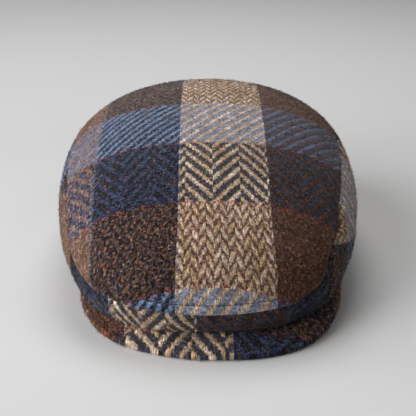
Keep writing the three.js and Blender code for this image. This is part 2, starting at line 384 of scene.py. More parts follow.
def dome_place(points):
    x, y, z = points[..., 0], points[..., 1], points[..., 2]
    front = smoothstep(FRONT_EASE_START, FRONT_EASE_END, y)
    sag = (z - crown_height_at(np.zeros_like(x), y)) * (1 - front)
    u = np.sign(x) * np.hypot(x, sag) * (1 - FRONT_SPREAD * front)
    rise = z - crown_height_at(x, np.full_like(y, ROW_START_Y))
    v = np.sign(ROW_START_Y - y) * np.hypot(y - ROW_START_Y, rise) * ARC_OVER_CHORD
    return np.stack([u, v], -1)


# %% Top panel
TOP_ACROSS, TOP_ALONG = 190, 250
CROWDING = 0.35
STITCH_INSET, STITCH_GROOVE, STITCH_GROOVE_WIDTH = 6.3, 0.55, 1.0
HEM_RISE, HEM_EASE = 0.35, 1.0
HEM_FULL_TO, HEM_GONE_AT = 20.0, 27.0


def crowded(count):
    """Steps from -1 to 1, closer together at both ends."""
    even = np.linspace(-1, 1, count)
    return even * (1 + CROWDING * (1 - np.abs(even)))


def front_share(angle):
    """1 along the stitched front edge, 0 along the side and back seams."""
    return 1 - smoothstep(HEM_FULL_TO, HEM_GONE_AT, np.abs(angle))


def make_top_panel():
    across, ahead = np.meshgrid(crowded(TOP_ACROSS), crowded(TOP_ALONG))
    right = across * np.sqrt(1 - ahead ** 2 / 2)
    back = ahead * np.sqrt(1 - across ** 2 / 2)
    angle = np.degrees(np.arctan2(right, -back))
    edge = seam_way(angle) - SEAM_CLEARANCE
    way = np.minimum(1, np.hypot(right, back)) * edge
    base, normal = crown_point(angle, way), crown_normal(angle, way)
    place = dome_place(base)
    distance = distance_between(base, crown_point(angle, edge))
    front = front_share(angle)
    run = np.radians(angle) * along(CROWN, "reach", angle)
    groove = STITCH_GROOVE * np.exp(-((distance - STITCH_INSET) / STITCH_GROOVE_WIDTH) ** 2)
    hem = HEM_RISE * (1 - smoothstep(0, STITCH_INSET + HEM_EASE, distance)) - groove
    hem -= edge_dip(distance)
    shaping = front * hem + (1 - front) * seam_profile(distance, run)
    lift = rib_relief(place[..., 0], place[..., 1]) * smoothstep(0, RIB_FADE, distance) + shaping
    outer = base + normal * lift[..., None]
    inner = base - normal * CLOTH
    return cloth_sheet("top_panel_cloth", outer, inner, place), (outer, place, 1)


top_panel, top_face = make_top_panel()
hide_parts("top_panel")

# %% [markdown]
# ## Side panels and front band
# These pieces go round the crown below the seam. Their grid follows the sections: angle round the
# head, and way from the seam to the foot. Each is cut from the cloth in its own direction. The
# band's stripes run down it. A side panel is a long strip, so its stripes run along it, at a
# slant. The place on the cloth comes from the run along the widest line and the drop below it.

# %% Run along the widest line
RUN_ANGLES = np.linspace(0, 180, 721)
WIDEST = crown_point(RUN_ANGLES, np.ones_like(RUN_ANGLES))
RUN_LENGTHS = np.concatenate([[0], np.cumsum(distance_between(WIDEST[1:], WIDEST[:-1]))])


def run_along(angle):
    return np.sign(angle) * np.interp(np.abs(angle), RUN_ANGLES, RUN_LENGTHS)


print("run from the front to the back seam", round(float(RUN_LENGTHS[-1])), "mm")

# %% Cuts of the side panels and the band
BAND_SHIFT, BAND_DROP = 44.0, 20.0
SLANT = math.radians(22.0)
RIGHT_CUT = {"run": 91.5, "drop": -19.0, "u": -18.0, "v": 87.5, "way": -1}
LEFT_CUT = {"run": 104.0, "drop": -15.0, "u": -103.5, "v": 57.0, "way": 1}


def band_cut(run, drop):
    return np.stack([run + BAND_SHIFT, drop + BAND_DROP], -1)


def side_cut(cut, run, drop):
    """A strip whose stripes climb towards the back, from one known point of the cloth."""
    back, down = np.abs(run) - cut["run"], drop - cut["drop"]
    u = cut["u"] + cut["way"] * (down * math.cos(SLANT) - back * math.sin(SLANT))
    v = cut["v"] + back * math.cos(SLANT) + down * math.sin(SLANT)
    return np.stack([u, v], -1)


def left_cut(run, drop):
    return side_cut(LEFT_CUT, run, drop)


def right_cut(run, drop):
    return side_cut(RIGHT_CUT, run, drop)


# %% Side panels and front band
STRIP_STEP, STRIP_DOWN, STRIP_BANDS = 1.1, 60, 3


def make_strip(name, start, end, down_steps, cut):
    length = abs(run_along(end) - run_along(start))
    runs = np.linspace(run_along(start), run_along(end), int(length / STRIP_STEP))
    angles = np.interp(runs, np.concatenate([-RUN_LENGTHS[:0:-1], RUN_LENGTHS]),
                       np.concatenate([-RUN_ANGLES[:0:-1], RUN_ANGLES]))
    angle, share = np.meshgrid(angles, 0.5 + crowded(down_steps) / 2)
    edge = seam_way(angle) + SEAM_CLEARANCE
    way = edge + (2 - edge) * share
    base, normal = crown_point(angle, way), crown_normal(angle, way)
    run = run_along(angle)
    drop = along(CROWN, "height", angle) - base[..., 2]
    place = cut(run, drop)
    to_seam = distance_between(base, crown_point(angle, edge))
    to_end = np.minimum(np.abs(run - run_along(start)), np.abs(run - run_along(end)))
    to_foot = distance_between(base, crown_point(angle, np.full_like(way, 2.0)))
    nearest = np.minimum(to_seam, to_end)
    shaping = seam_profile(nearest, run + drop)
    shaping -= edge_dip(to_foot)
    ease = smoothstep(0, RIB_FADE, np.minimum(nearest, to_foot))
    lift = rib_relief(place[..., 0], place[..., 1]) * ease + shaping
    outer = base + normal * lift[..., None]
    inner = base - normal * CLOTH
    foot_reach = along(CROWN, "foot", angles) - CLOTH / np.hypot(normal[-1, :, 0], normal[-1, :, 1])
    inner[-1] = polar(angles, foot_reach, foot_height(angles, foot_reach))
    return cloth_sheet(name, outer, inner, place, STRIP_BANDS, flip=True), (outer, place, -1)


END_GAP = 0.08
BAND_DOWN = 36
left_ends = (-180 + END_GAP, BAND_LEFT_END - END_GAP)
right_ends = (BAND_RIGHT_END + END_GAP, 180 - END_GAP)
band_ends = (BAND_LEFT_END + END_GAP, BAND_RIGHT_END - END_GAP)
side_left, left_face = make_strip("side_panel_left_cloth", *left_ends, STRIP_DOWN, left_cut)
side_right, right_face = make_strip("side_panel_right_cloth", *right_ends, STRIP_DOWN, right_cut)
front_band, band_face = make_strip("front_band_cloth", *band_ends, BAND_DOWN, band_cut)
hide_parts("side_panel_left")
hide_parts("side_panel_right")
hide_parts("front_band")

# %% [markdown]
# ## Peak
# A stiff crescent wrapped in cloth. One closed section, over the top, round the soft front edge
# and back along the underside, is carried round the front of the head. The peak's cloth is cut
# the other way up from the crown's, so its stripes run in the opposite order, and turned a little.

# %% Peak
PEAK_STEP, PEAK_HALF_RUN, PEAK_ALONG, PEAK_NOSE = 1.1, 190, 52, 14
NOSE_TURN = 80.0
PEAK_RIBS_FROM, PEAK_RIBS_FULL = 0.3, 1.5
PEAK_TAN_LEFT_X, PEAK_ROW_X, PEAK_ROW_Y, PEAK_ROW_SLOPE = -49.5, -95.0, -115.0, 0.05
PEAK_STRETCH = 1.16
PEAK_PATCH, PEAK_ROOT_PATCH = ((0, 0), (1, 0.95)), ((0, 0.955), (1, 0.97))
PEAK_LEFT_PATCH, PEAK_END_SHIFT = ((0, 0.975), (0.48, 0.995)), (0.5, 0)
TAN_RIGHT = CHECK_START + 2 * CHECK_WIDTH


def peak_section(angle):
    """The reaches and heights of one section, over the top, round the nose and back."""
    lip, root = peak_lip(angle), along(PEAK, "root", angle)
    radius = PEAK_THICKNESS / 2
    nose_reach = lip - radius
    share = np.linspace(0, 1, PEAK_ALONG)[:, None]
    reach = root + (nose_reach - root) * share
    top = peak_top(angle, reach)
    turn = np.radians(np.linspace(NOSE_TURN, -NOSE_TURN, PEAK_NOSE))[:, None]
    nose_height = peak_top(angle, nose_reach) - radius
    nose = np.maximum(0, nose_height + radius * np.sin(turn))
    under = np.maximum(0, top - PEAK_THICKNESS)[::-1]
    reaches = np.concatenate([reach, nose_reach + radius * np.cos(turn), reach[::-1]])
    return reaches, np.concatenate([top, nose, under])


def make_peak():
    count = int(2 * PEAK_HALF_RUN / PEAK_STEP)
    angle = np.linspace(-PEAK_END, PEAK_END, count)
    reach, height = peak_section(angle)
    base = polar(np.broadcast_to(angle, reach.shape), reach, height)
    across = np.gradient(base, axis=1)
    round_section = np.gradient(base, axis=0)
    normal = np.cross(round_section, across)
    normal /= np.linalg.norm(normal, axis=-1, keepdims=True)
    u = TAN_RIGHT - (base[..., 0] - PEAK_TAN_LEFT_X) / PEAK_STRETCH
    forward = base[..., 1] - PEAK_ROW_Y + PEAK_ROW_SLOPE * (base[..., 0] - PEAK_ROW_X)
    v = forward / PEAK_STRETCH + ROW_LENGTH
    lift = rib_relief(u, v) * smoothstep(PEAK_RIBS_FROM, PEAK_RIBS_FULL, base[..., 2])
    points = base + normal * lift[..., None]
    points[..., 2] = np.maximum(points[..., 2], 0)
    rows, columns = points.shape[:2]
    first = np.arange(columns - 1)
    last = first + (rows - 1) * columns
    root = np.stack([first + 1, first, last, last + 1], -1)
    over = np.arange(rows // 2) * columns
    under = (rows - 1 - np.arange(rows // 2)) * columns
    left_end = np.stack([over[1:], over[:-1], under[:-1], under[1:]], -1)
    right_end = left_end[:, ::-1] + columns - 1
    quads = np.concatenate([grid_faces(0, rows, columns)[:, ::-1], root[:, ::-1], left_end, right_end])
    end_patch = ribbon_patch(len(left_end), *PEAK_LEFT_PATCH)
    baked = np.concatenate([
        patch(rows, columns, *PEAK_PATCH)[:, ::-1],
        ribbon_patch(len(root), *PEAK_ROOT_PATCH)[:, ::-1],
        end_patch,
        end_patch[:, ::-1] + PEAK_END_SHIFT,
    ])
    place = np.stack([u, v], -1)
    made = fill_mesh("peak_cloth", points.reshape(-1, 3), quads, place.reshape(-1, 2), baked)
    shown = slice(0, PEAK_ALONG + PEAK_NOSE)
    return made, (points[shown], place[shown], -1)


peak, peak_face = make_peak()
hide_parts("peak")

# %% [markdown]
# ## Fuzz
# Woollen cloth is hairy: short fibres stand off the yarn and soften every edge. Blender's hair
# could grow them, but a mesh is sure to be kept by every export. So each fibre is a thin bent
# spike with three sides, closed at its root, on the outer face of its panel. It keeps its root's
# place on the cloth, and so takes the colour of the yarn that it grows from.

# %% Fuzz
FIBRE_SHORT, FIBRE_LONG, FIBRE_BEND, FIBRE_DROOP, FIBRE_TWIST = 0.8, 2.7, 0.4, 0.4, 0.3
FIBRE_RISE = (0.15, 1.1)
FIBRE_SECTIONS = [{"share": 0.0, "width": 0.23}, {"share": 0.55, "width": 0.19}]
FIBRE_SIDES, FIBRE_POINTS, CELL_SHARE = 3, 7, 0.8
ROOT_CORNERS = ((0.76, 0), (0.97, 0), (0.86, 0.5))
SIDE_SLOT, SIDE_WIDTH = 0.25, 0.22
TOP_FIBRES, SIDE_FIBRES, BAND_FIBRES, PEAK_FIBRES = 19800, 8500, 4000, 8000


def unit(vectors):
    return vectors / np.linalg.norm(vectors, axis=-1, keepdims=True)


def fibre_roots(outer, place, facing, count):
    """Even places over a grid of points, with the directions across it and out of it there."""
    corner = outer[:-1, :-1].reshape(-1, 3)
    across = (outer[:-1, 1:] - outer[:-1, :-1]).reshape(-1, 3)
    down = (outer[1:, :-1] - outer[:-1, :-1]).reshape(-1, 3)
    area = np.linalg.norm(np.cross(across, down), axis=-1)
    chosen = rng.choice(len(area), count, p=area / area.sum())
    shares = rng.random((2, count, 1))
    roots = corner[chosen] + shares[0] * across[chosen] + shares[1] * down[chosen]
    out = unit(np.cross(across[chosen], down[chosen])) * facing
    return roots, unit(across[chosen]), out, place[:-1, :-1].reshape(-1, 2)[chosen]


def fibre_points(roots, across, out):
    count = len(roots)
    turn, bend_turn = rng.uniform(0, 2 * math.pi, (2, count, 1))
    rise = rng.uniform(*FIBRE_RISE, (count, 1))
    length = rng.uniform(FIBRE_SHORT, FIBRE_LONG, (count, 1))
    beside = np.cross(out, across)
    lie = np.cos(turn) * across + np.sin(turn) * beside
    bend = np.cos(bend_turn) * across + np.sin(bend_turn) * beside
    ahead = lie * np.cos(rise) + out * np.sin(rise)
    edge = unit(np.cross(ahead, out + FIBRE_TWIST * bend))
    side = np.cross(ahead, edge)
    made = []
    for section in FIBRE_SECTIONS:
        share, radius = section["share"], section["width"] / 2
        middle = roots + length * (share * ahead + share ** 2 * FIBRE_BEND * (bend - FIBRE_DROOP * out))
        for corner in np.arange(FIBRE_SIDES) * (2 * math.pi / FIBRE_SIDES):
            made.append(middle + radius * (math.cos(corner) * edge + math.sin(corner) * side))
    made.append(roots + length * (ahead + FIBRE_BEND * (bend - FIBRE_DROOP * out)))
    return np.stack(made, 1)


def fibre_faces():
    """The triangles of one fibre, and their corners in one cell of the bake map."""
    triangles = [(0, 2, 1)]
    corners = [ROOT_CORNERS]
    tip = 2 * FIBRE_SIDES
    for k in range(FIBRE_SIDES):
        after = (k + 1) % FIBRE_SIDES
        above, beyond = k + FIBRE_SIDES, after + FIBRE_SIDES
        left = k * SIDE_SLOT
        right = left + SIDE_WIDTH
        triangles += [(k, after, beyond), (k, beyond, above), (above, beyond, tip)]
        corners += [((left, 0), (right, 0), (right, 0.5)), ((left, 0), (right, 0.5), (left, 0.5))]
        corners += [((left, 0.5), (right, 0.5), (left + SIDE_WIDTH / 2, 1))]
    return np.array(triangles), np.array(corners)


def make_fuzz(name, face, count):
    outer, place, facing = face
    roots, across, out, root_place = fibre_roots(outer, place, facing, count)
    points = fibre_points(roots, across, out)
    above_floor = points[..., 2].min(1) > 0
    points, root_place = points[above_floor].reshape(-1, 3), root_place[above_floor]
    count = len(root_place)
    one, corners = fibre_faces()
    triangles = (np.arange(count)[:, None, None] * FIBRE_POINTS + one).reshape(-1, 3)
    side = math.ceil(math.sqrt(count))
    cell = np.stack(np.divmod(np.arange(count), side), -1)[:, None, None]
    baked = (cell + CELL_SHARE * corners) / side
    return fill_mesh(name, points, triangles, np.repeat(root_place, FIBRE_POINTS, 0), baked)


top_fuzz = make_fuzz("top_panel_fuzz", top_face, TOP_FIBRES)
left_fuzz = make_fuzz("side_panel_left_fuzz", left_face, SIDE_FIBRES)
right_fuzz = make_fuzz("side_panel_right_fuzz", right_face, SIDE_FIBRES)
band_fuzz = make_fuzz("front_band_fuzz", band_face, BAND_FIBRES)
peak_fuzz = make_fuzz("peak_fuzz", peak_face, PEAK_FIBRES)

# %% [markdown]
# ## Stitches along the front
# The turned front edge of the top panel is held by one line of dark thread. Each stitch is a
# short tube with narrow ends that is sunk into the groove, from one needle hole to the next.

# %% Front stitches
STITCH_FROM, STITCH_TO, STITCH_PITCH, STITCH_LENGTH = -24.0, 17.0, 3.4, 2.9
FIRST_STITCH, SEARCH_WAY = 0.5, 0.3
THREAD_RADIUS, THREAD_END, THREAD_ARCH, THREAD_SINK = 0.26, 0.15, 0.3, 0.3
THREAD_SIDES, THREAD_RINGS = 8, 7


def stitch_line(angle):
    """Points of the line, and the directions out of the cloth there."""
    edge = seam_way(angle)
    ways = edge[:, None] + np.linspace(-SEARCH_WAY, 0, 200)[None]
    rows = crown_point(np.broadcast_to(angle[:, None], ways.shape), ways)
    reach = distance_between(rows, rows[:, -1:])
    way = np.array([np.interp(-STITCH_INSET, -reach[i], ways[i]) for i in range(len(angle))])
    return crown_point(angle, way), crown_normal(angle, way)


def stitch_faces():
    """The faces of one stitch, closed at both ends, and their corners on its part of the bake map."""
    ring, corner = np.meshgrid(np.arange(THREAD_RINGS - 1), np.arange(THREAD_SIDES), indexing="ij")
    here, beside = ring * THREAD_SIDES + corner, ring * THREAD_SIDES + (corner + 1) % THREAD_SIDES
    wall = np.stack([here, here + THREAD_SIDES, beside + THREAD_SIDES, beside], -1).reshape(-1, 4)
    cap = np.array([[0, 1, 2, 7], [7, 2, 3, 6], [6, 3, 4, 5]])
    end = cap[:, ::-1] + (THREAD_RINGS - 1) * THREAD_SIDES
    corners = np.concatenate([
        patch(THREAD_RINGS, THREAD_SIDES + 1, (0, 0), (0.9, 0.9))[:, [0, 3, 2, 1]],
        ribbon_patch(len(cap), (0, 0.92), (0.4, 0.99)),
        ribbon_patch(len(end), (0.5, 0.92), (0.9, 0.99)),
    ])
    return np.concatenate([wall, cap, end]), corners


def make_stitches():
    line, out = stitch_line(np.linspace(STITCH_FROM, STITCH_TO, 400))
    runs = np.concatenate([[0], np.cumsum(distance_between(line[1:], line[:-1]))])
    starts = np.arange(FIRST_STITCH, runs[-1] - STITCH_LENGTH, STITCH_PITCH)
    share = np.linspace(0, 1, THREAD_RINGS)
    at = starts[:, None] + share * STITCH_LENGTH
    middle = np.stack([np.interp(at, runs, line[:, k]) for k in range(3)], -1)
    up = unit(np.stack([np.interp(at, runs, out[:, k]) for k in range(3)], -1))
    beside = unit(np.cross(np.gradient(middle, axis=1), up))
    arch = np.sin(share * math.pi)[None, :, None]
    middle = middle + up * (THREAD_ARCH * arch - THREAD_SINK)
    radius = THREAD_RADIUS * (THREAD_END + (1 - THREAD_END) * np.sqrt(arch))[..., None, :]
    turn = np.linspace(0, 2 * math.pi, THREAD_SIDES, endpoint=False)[None, None, :, None]
    round_it = np.cos(turn) * beside[:, :, None] + np.sin(turn) * up[:, :, None]
    ring = middle[:, :, None] + radius * round_it
    one, corners = stitch_faces()
    count = len(starts)
    quads = (np.arange(count)[:, None, None] * THREAD_RINGS * THREAD_SIDES + one).reshape(-1, 4)
    baked = (corners + np.arange(count)[:, None, None, None] * [1, 0]) / [count, 1]
    place = np.repeat(at.reshape(-1, 1), THREAD_SIDES, 0) * [1, 0]
    return fill_mesh("front_stitches", ring.reshape(-1, 3), quads, place, baked)


front_stitches = make_stitches()

# %% [markdown]
# ## Shader maths
# A finish is a tree of nodes. To write it as plain sums, a small class wraps each socket and
# turns + and * into Math nodes. Every other node comes from one method.

# %% Shader helpers
class Field:
    """A value that changes over a surface, with operators that add Math nodes."""

    def __init__(self, tree, socket):
        self.tree, self.socket = tree, socket

    def math(self, operation, *others):
        return self.tree.node("ShaderNodeMath", {"operation": operation}, self, *others).out()

    def __add__(self, other):
        return self.math("ADD", other)

    def __radd__(self, other):
        return self.math("ADD", other)

    def __sub__(self, other):
        return self.math("SUBTRACT", other)

    def __rsub__(self, other):
        return (self * -1).math("ADD", other)

    def __mul__(self, other):
        return self.math("MULTIPLY", other)

    def __truediv__(self, other):
        return self.math("DIVIDE", other)

    def step(self, low, high):
        settings = {"interpolation_type": "SMOOTHSTEP"}
        return self.tree.node("ShaderNodeMapRange", settings, self, low, high, 0.0, 1.0).out()


class Node:
    def __init__(self, tree, node):
        self.tree, self.node = tree, node

    def out(self, name=0):
        return Field(self.tree, self.node.outputs[name])


class Finish:
    """A material and its node tree."""

    def __init__(self, name):
        self.material = bpy.data.materials.new(name)
        self.material.use_nodes = True
        self.nodes = self.material.node_tree.nodes
        self.links = self.material.node_tree.links
        self.surface = self.nodes["Principled BSDF"]

    def node(self, kind, settings=None, *inputs, **named):
        made = self.nodes.new(kind)
        for key, value in (settings or {}).items():
            setattr(made, key, value)
        for key, value in list(enumerate(inputs)) + [(k.replace("_", " "), v) for k, v in named.items()]:
            self.plug(made.inputs[key], value)
        return Node(self, made)

    def plug(self, socket, value):
        if isinstance(value, Field):
            self.links.new(value.socket, socket)
        else:
            socket.default_value = value

    def mix(self, share, a, b):
        """A colour between a and b."""
        made = self.node("ShaderNodeMix", {"data_type": "RGBA"}, share)
        self.plug(made.node.inputs[6], a)
        self.plug(made.node.inputs[7], b)
        return made.out(2)

    def scaled(self, colour, factor):
        """A colour made lighter or darker by a factor."""
        return self.node("ShaderNodeVectorMath", {"operation": "SCALE"}, colour, Scale=factor).out()

    def times(self, colour, tint):
        """A colour multiplied by a tint, part by part."""
        return self.node("ShaderNodeVectorMath", {"operation": "MULTIPLY"}, colour, tint).out()

    def noise(self, place, scale, detail=2.0):
        settings = {"noise_dimensions": "3D"}
        return self.node("ShaderNodeTexNoise", settings, Vector=place, Scale=scale, Detail=detail)

    def finish(self, **inputs):
        for key, value in inputs.items():
            self.plug(self.surface.inputs[key.replace("_", " ")], value)
        return self.material


def colour(red, green, blue):
    """A colour given as it looks on a screen, from 0 to 255, as Blender's linear values."""
    def linear(part):
        part = part / 255
        return part / 12.92 if part <= 0.04045 else ((part + 0.055) / 1.055) ** 2.4
    return (linear(red), linear(green), linear(blue), 1.0)


# %% [markdown]
# ## Tweed
# Woollen yarn is never one colour: fibres of several shades are carded together, so each yarn
# is mottled along its length, with bright flecks here and there. The finish finds the stripe and
# row at each place, works out the rib there, picks the colour of the yarn that lies on top, and
# then mottles it, paints shade into the grooves between the ribs and adds flecks.

# %% Yarn colours
TAN_YARN = colour(193, 173, 151)
BLACK_YARN = colour(29, 28, 32)
BROWN_YARN = colour(77, 53, 41)
FAWN_YARN = colour(122, 99, 89)
NAVY_YARN = colour(44, 54, 78)
DUSK_YARN = colour(39, 46, 60)
RUST_BROWN_YARN = colour(88, 64, 55)
WARM_SPECK, COOL_SPECK = colour(158, 124, 92), colour(88, 106, 144)
LIGHT_BLUE_YARN = colour(104, 124, 155)
POCKET_BROWN = colour(92, 58, 48)
RED_YARN = colour(150, 56, 48)
ORANGE_NEP = colour(186, 100, 62)
PALE_BLUE_EDGE = colour(120, 132, 152)
NAVY_EDGE = colour(48, 50, 62)
SHEEN_TINT = (0.98, 0.97, 0.97, 1.0)
GOLDEN, ROSY, CREAM = (1.05, 0.92, 0.70, 1.0), (1.0, 0.93, 0.92, 1.0), (1.05, 1.08, 1.12, 1.0)
print("15 colours of wool")


# %% Where the yarns lie
SHIFT_SCALE, SHIFT_ACROSS, SHIFT_ALONG = 0.45, 1.3, 1.5
CHEVRON_WOBBLE, PICKS_PER_RIB = 4.0, 4


class Weave:
    """The stripe, row and rib at each place of the cloth, as fields."""

    def __init__(self, t):
        self.place = t.node("ShaderNodeAttribute", {"attribute_name": CLOTH_PLACE}).out("Vector")
        split = t.node("ShaderNodeSeparateXYZ", {}, self.place)
        self.shift = t.node("ShaderNodeSeparateXYZ", {}, t.noise(self.place, SHIFT_SCALE).out("Color"))
        self.u = split.out("X") + (self.shift.out("X") - 0.5) * SHIFT_ACROSS
        self.v = split.out("Y") + (self.shift.out("Y") - 0.5) * SHIFT_ALONG
        stripe = (self.u - CHECK_START) / CHECK_WIDTH
        column = stripe.math("FLOOR")
        self.inside = (stripe - column) * CHECK_WIDTH
        warp = column.math("FLOORED_MODULO", float(len(STRIPES)))
        self.tan = warp.math("COMPARE", float(STRIPES.index("tan")), 0.5)
        self.fawn = warp.math("COMPARE", float(STRIPES.index("fawn")), 0.5)
        self.brown = warp.math("COMPARE", float(STRIPES.index("brown")), 0.5) + self.fawn
        self.row = self.v / ROW_LENGTH
        weft = self.row.math("FLOOR").math("FLOORED_MODULO", 3.0)
        self.chevrons = weft.math("COMPARE", float(BROWN_WEFT), 0.5)
        self.plain = weft.math("COMPARE", float(LIGHT_BLUE), 0.5)
        self.ribs()

    def ribs(self):
        fine = self.plain * (1 - self.tan) * (1 - self.brown)
        across = fine * (FINE_TWILL_ACROSS - TWILL_ACROSS) + TWILL_ACROSS
        length = fine * (FINE_TWILL_ALONG - TWILL_ALONG) + TWILL_ALONG
        self.yarn = (self.inside / YARN).math("FLOOR")
        middle = (self.yarn + 0.5) * YARN
        stepped = middle + (self.inside - middle) * YARN_SLANT
        stripe = ((self.inside - STRIPE_INSET) / STRIPE_WIDTH).math("FLOOR")
        rising = stripe.math("FLOORED_MODULO", 2.0)
        from_edge = stepped - STRIPE_INSET - stripe * STRIPE_WIDTH
        herringbone = (rising * 2 - 1) * from_edge / across + rising / 2
        arm = (self.inside / ARM_WIDTH).math("FLOOR")
        from_middle = self.inside - (arm + 0.5) * ARM_WIDTH
        leaning = arm.math("FLOORED_MODULO", 2.0)
        chevron = (leaning * 2 - 1) * from_middle / ARM_ACROSS + leaning / 2
        lean = herringbone + self.chevrons * (chevron - herringbone)
        lean = lean + self.plain * (stepped / across - herringbone)
        length = length + self.chevrons * (ARM_ALONG - length)
        wobble = (self.shift.out("Z") - 0.5) * self.chevrons * CHEVRON_WOBBLE
        self.phase = lean + (self.v + wobble) / length
        taper = (from_middle * (2 / ARM_WIDTH)).math("ABSOLUTE").math("POWER", ARM_TAPER_POWER) * ARM_TAPER
        self.wave = (self.phase * (2 * math.pi)).math("COSINE") - self.chevrons * taper
        picks = self.v / length * PICKS_PER_RIB
        self.pick = picks.math("FLOOR")
        self.across_yarn = ((self.inside / YARN).math("FRACT") - 0.5).math("ABSOLUTE") * 2
        self.across_pick = (picks.math("FRACT") - 0.5).math("ABSOLUTE") * 2


# %% Tweed
ALONG_WARP, ALONG_WEFT = (1.0, 0.45, 1.0), (0.45, 1.0, 1.0)


def chance(t, first, second):
    """A random value from 0 to 1 for each pair of whole numbers."""
    pair = t.node("ShaderNodeCombineXYZ", {}, first, second).out()
    return t.node("ShaderNodeTexWhiteNoise", {"noise_dimensions": "2D"}, Vector=pair).out("Value")


def tweed():
    t = Finish("tweed")
    w = Weave(t)
    dark_stripe = 1 - w.tan
    warp_strand = t.noise(t.times(w.place, ALONG_WARP), 0.95, 3.0).out("Fac")
    weft_strand = t.noise(t.times(w.place, ALONG_WEFT), 0.95, 3.0).out("Fac")
    black = 1 - w.tan - w.brown
    herringbone = 1 - w.plain - w.chevrons
    jumbled = dark_stripe * w.chevrons + w.fawn * (1 - w.chevrons)
    clump = t.noise(w.place, 0.42, 1.0).out("Fac") - 0.5
    loose = 2.2 + dark_stripe * (1.0 + w.plain * 1.2) - w.brown * herringbone * 0.8
    stray = (warp_strand - weft_strand) * loose + clump * jumbled * 9
    tan_share = w.tan * (w.chevrons * 0.6 + w.plain * 0.25 - 0.2)
    warp_share = tan_share + w.brown * (w.plain * 0.25 - herringbone * 0.1) + black * w.chevrons * 0.5
    on_top = (w.wave + stray + warp_share).step(-0.6, 0.6)
    veil = w.tan * w.plain * 0.12 + w.brown * (1 - herringbone) * 0.1
    on_top = on_top * (0.92 - veil * 2) + 0.04 + veil

    warp_colour = t.mix(w.tan, BLACK_YARN, TAN_YARN)
    warp_colour = t.mix(w.brown, warp_colour, BROWN_YARN)
    warp_colour = t.mix(w.fawn, warp_colour, FAWN_YARN)
    dark_weft = t.mix(w.brown - w.fawn + w.tan, NAVY_YARN, DUSK_YARN)
    weft_colour = t.mix(w.chevrons, dark_weft, t.mix(w.tan, RUST_BROWN_YARN, POCKET_BROWN))
    weft_colour = t.mix(w.plain * (1 - w.brown * 0.3), weft_colour, LIGHT_BLUE_YARN)
    to_row = ((w.row + 0.5).math("FRACT") - 0.5).math("ABSOLUTE") * ROW_LENGTH
    red_pick = (1 - to_row.step(0.5, 1.7)) * t.noise(w.place, 0.25, 1.0).out("Fac").step(0.42, 0.6)
    weft_colour = t.mix(red_pick * 0.7, weft_colour, RED_YARN)
    float_chance = chance(t, w.yarn, (w.phase + 0.25).math("FLOOR"))
    pick_chance = chance(t, w.pick, (w.phase - 0.25).math("FLOOR"))
    hue = float_chance * 0.6 + warp_strand * 0.7
    warp_tint = t.mix(hue.step(0.75, 0.95), t.mix(hue.step(0.45, 0.65), GOLDEN, ROSY), CREAM)
    warp_colour = t.times(t.scaled(warp_colour, 0.78 + float_chance * 0.44), warp_tint)
    weft_colour = t.scaled(weft_colour, 0.75 + pick_chance * 0.5)
    cloth = t.mix(on_top, weft_colour, warp_colour)

    from_left = w.inside.step(2.0, 0.5) * weft_strand.step(0.35, 0.6)
    cloth = t.mix(from_left * (1 - w.brown) * 0.5, cloth, PALE_BLUE_EDGE)
    cloth = t.mix(from_left * w.brown * 0.7, cloth, NAVY_EDGE)

    spice = t.node("ShaderNodeSeparateXYZ", {}, t.noise(w.place, 0.6, 2.0).out("Color"))
    warm = spice.out("X").step(0.54, 0.66) * (0.1 + dark_stripe * (0.1 + w.chevrons * 0.3))
    cool_share = 0.1 + dark_stripe * (0.25 - w.chevrons * 0.2) - w.brown * 0.15
    cool = spice.out("Y").step(0.54, 0.66) * cool_share
    cloth = t.mix(cool, t.mix(warm, cloth, WARM_SPECK), COOL_SPECK)

    mottle = t.noise(w.place, 0.16, 2.0).out("Fac").step(0.3, 0.7)
    warp_light = t.noise(t.times(w.place, ALONG_WARP), 1.1, 2.0).out("Fac").step(0.32, 0.68)
    weft_light = t.noise(t.times(w.place, ALONG_WEFT), 1.1, 2.0).out("Fac").step(0.32, 0.68)
    light = on_top * warp_light + (1 - on_top) * weft_light
    grain = t.noise(w.place, 1.5, 3.0).out("Fac").step(0.3, 0.7)
    # The groove term is painted shade, darker between the ribs; the mottle, strand and grain terms are
    # random tone of the yarn.
    groove = w.wave.math("ABSOLUTE").math("POWER", 0.5)
    shade = (0.6 + groove * 0.46) * (0.86 + mottle * 0.26) * (0.42 + light * 1.1) * (0.62 + grain * 0.72)
    cloth = t.scaled(cloth, shade)

    neps = t.node("ShaderNodeTexVoronoi", {"feature": "F1"}, Vector=w.place, Scale=0.3)
    lot = t.node("ShaderNodeSeparateXYZ", {}, neps.out("Color"))
    nep = (1 - neps.out("Distance").step(0.1, 0.32)) * lot.out("X").step(0.86, 0.88)
    nep_colour = t.mix(lot.out("Y").step(0.55, 0.65), ORANGE_NEP, RED_YARN)
    cloth = t.mix(nep * 0.55, cloth, nep_colour)

    rounded = on_top * w.across_yarn + (1 - on_top) * w.across_pick
    height = (1 - rounded * rounded) * 0.4 + light * 0.7 + grain * 0.5
    bump = t.node("ShaderNodeBump", {}, Strength=0.6, Distance=0.0006, Height=height).out("Normal")
    t.finish(Sheen_Weight=0.28, Sheen_Roughness=0.28, Sheen_Tint=SHEEN_TINT, Specular_IOR_Level=0.05)
    return t.finish(Base_Color=cloth, Roughness=0.95, Normal=bump)


TWEED = tweed()
SLOTS = {
    "top_tweed": (top_panel, top_fuzz),
    "left_tweed": (side_left, left_fuzz),
    "right_tweed": (side_right, right_fuzz),
    "band_tweed": (front_band, band_fuzz),
    "peak_tweed": (peak, peak_fuzz),
}
for slot, pieces in SLOTS.items():
    for piece in pieces:
        piece.data.materials.append(TWEED)
        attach(piece, "root")
